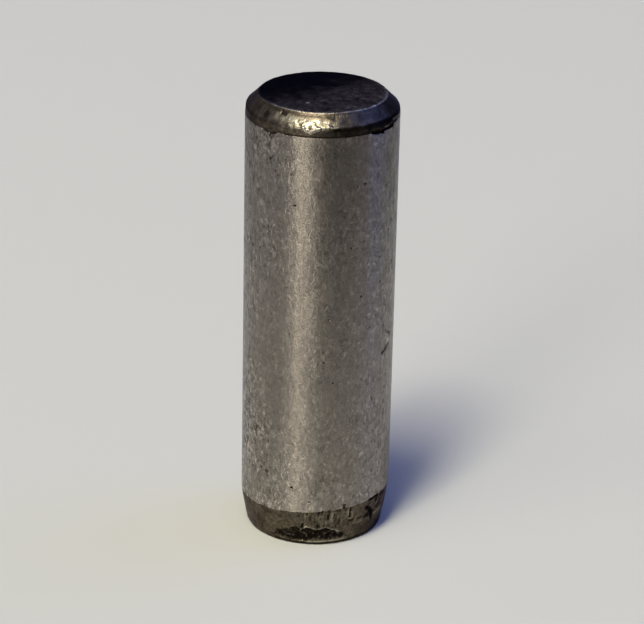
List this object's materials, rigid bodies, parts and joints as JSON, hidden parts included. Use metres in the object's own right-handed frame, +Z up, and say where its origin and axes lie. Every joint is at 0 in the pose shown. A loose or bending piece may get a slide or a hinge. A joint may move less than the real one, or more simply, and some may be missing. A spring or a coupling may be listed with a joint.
{
  "type": "crankshaft pin",
  "caption": "Hardened ground steel locating pin with a plain shank, a short tapered lead end and a chamfered crown with a flat end face.",
  "frame": {"origin": "middle of the foot, the small flat end of the lead cone that the pin stands on", "axes": "+Z up the pin's axis, from the lead end to the crowned end"},
  "size_m": [0.008, 0.008, 0.0243],
  "materials": {
    "ground_steel": "satin ground shank, dark heat-treat scale on the crown, the end face and the lead cone"
  },
  "bodies": {
    "root": {"crankshaft_pin": "ground_steel"}
  },
  "joints": []
}
